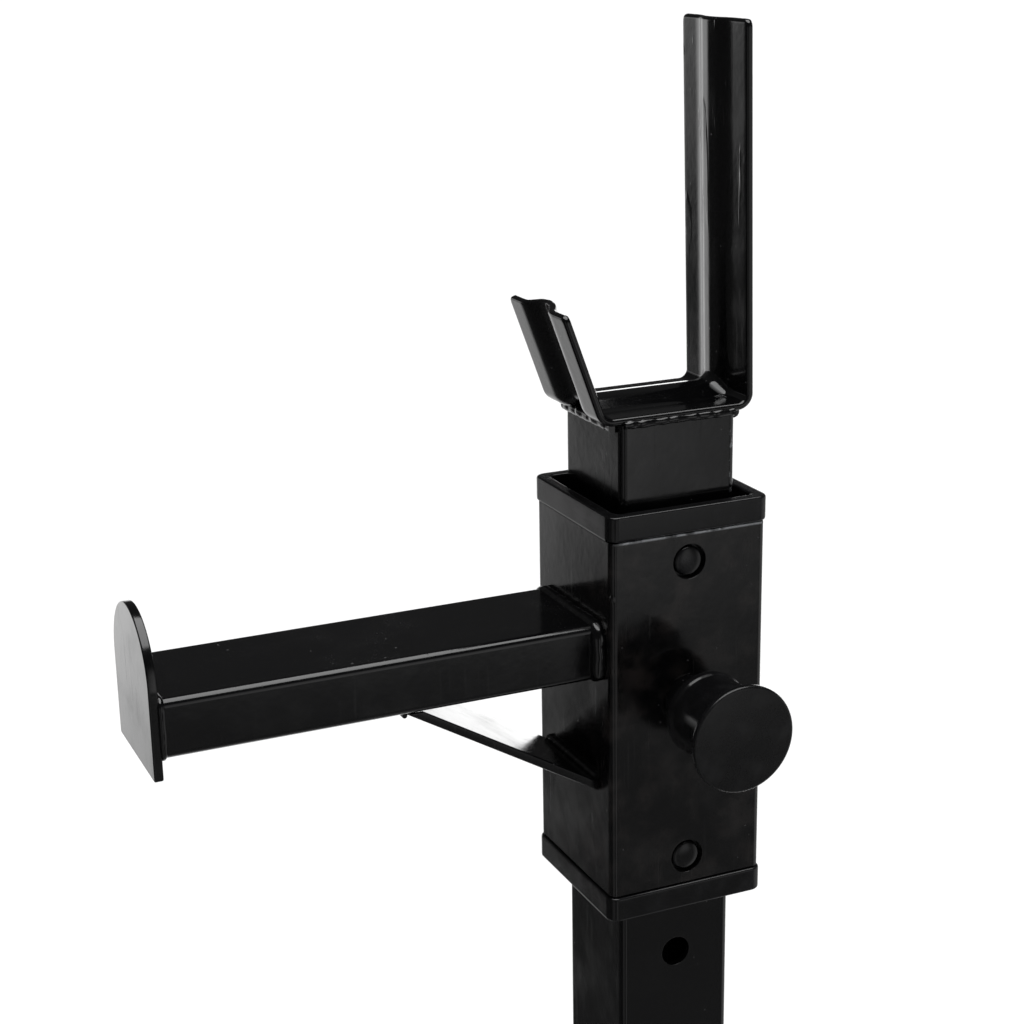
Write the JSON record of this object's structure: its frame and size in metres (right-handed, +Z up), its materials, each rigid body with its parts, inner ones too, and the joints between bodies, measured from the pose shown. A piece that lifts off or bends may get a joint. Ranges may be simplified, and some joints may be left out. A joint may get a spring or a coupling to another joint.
{
  "type": "barbell squat stand",
  "caption": "Free-standing barbell stand: telescoping square post with a U-shaped bar catch on top and a sliding sleeve that carries a spotter arm, set by spring pull pins.",
  "frame": {"origin": "on the floor, under the middle of the post", "axes": "+Z up along the post; -Y the lifter's side, where the spotter arm points; +X the side of the pull-pin knobs"},
  "size_m": [0.4286, 0.6, 1.281],
  "materials": {
    "black_paint": "high gloss",
    "black_plastic": "satin moulded",
    "bright_steel": "zinc plated",
    "rubber": "matte"
  },
  "bodies": {
    "base": {"base_rail": "black_paint", "column_bushing": "black_plastic", "column_flange": "black_paint", "column_pin_boss": "black_paint", "column_tube": "black_paint", "cross_foot_back": "black_paint", "cross_foot_front": "black_paint", "flange_bolt_1": "bright_steel", "flange_bolt_2": "bright_steel", "flange_bolt_3": "bright_steel", "flange_bolt_4": "bright_steel", "flange_washer_1": "bright_steel", "flange_washer_2": "bright_steel", "flange_washer_3": "bright_steel", "flange_washer_4": "bright_steel", "foot_cap_back_left": "black_plastic", "foot_cap_back_right": "black_plastic", "foot_cap_front_left": "black_plastic", "foot_cap_front_right": "black_plastic", "gusset_back": "black_paint", "gusset_front": "black_paint", "rubber_foot_back_left": "rubber", "rubber_foot_back_right": "rubber", "rubber_foot_front_left": "rubber", "rubber_foot_front_right": "rubber"},
    "sleeve_pin": {"sleeve_pin_knob": "black_plastic", "sleeve_pin_rod": "bright_steel", "sleeve_pin_spring": "bright_steel"},
    "column_pin": {"column_pin_knob": "black_plastic", "column_pin_rod": "bright_steel", "column_pin_spring": "bright_steel"},
    "post": {"post_tube": "black_paint", "bar_catch": "black_paint", "post_glide": "black_plastic", "catch_weld_left": "black_paint", "catch_weld_right": "black_paint", "catch_weld_front": "black_paint", "catch_weld_back": "black_paint"},
    "sleeve": {"sleeve_tube": "black_paint", "sleeve_bushing_top": "black_plastic", "sleeve_bushing_bottom": "black_plastic", "spotter_arm": "black_paint", "arm_end_plate": "black_paint", "arm_brace": "black_paint", "arm_root_weld": "black_paint", "end_plate_weld": "black_paint", "brace_weld_upper": "black_paint", "brace_weld_lower": "black_paint", "sleeve_pin_boss": "black_paint"}
  },
  "joints": [
    {"name": "post_height", "type": "slide", "parent": "base", "child": "post", "axis": [0, 0, 1], "range_m": [-0.174, 0.116]},
    {"name": "sleeve_slide", "type": "slide", "parent": "post", "child": "sleeve", "axis": [0, 0, 1], "range_m": [-0.174, 0]},
    {"name": "sleeve_pin_pull", "type": "slide", "parent": "sleeve", "child": "sleeve_pin", "axis": [1, 0, 0], "range_m": [-0.012, 0]},
    {"name": "column_pin_pull", "type": "slide", "parent": "base", "child": "column_pin", "axis": [1, 0, 0], "range_m": [-0.012, 0]}
  ]
}
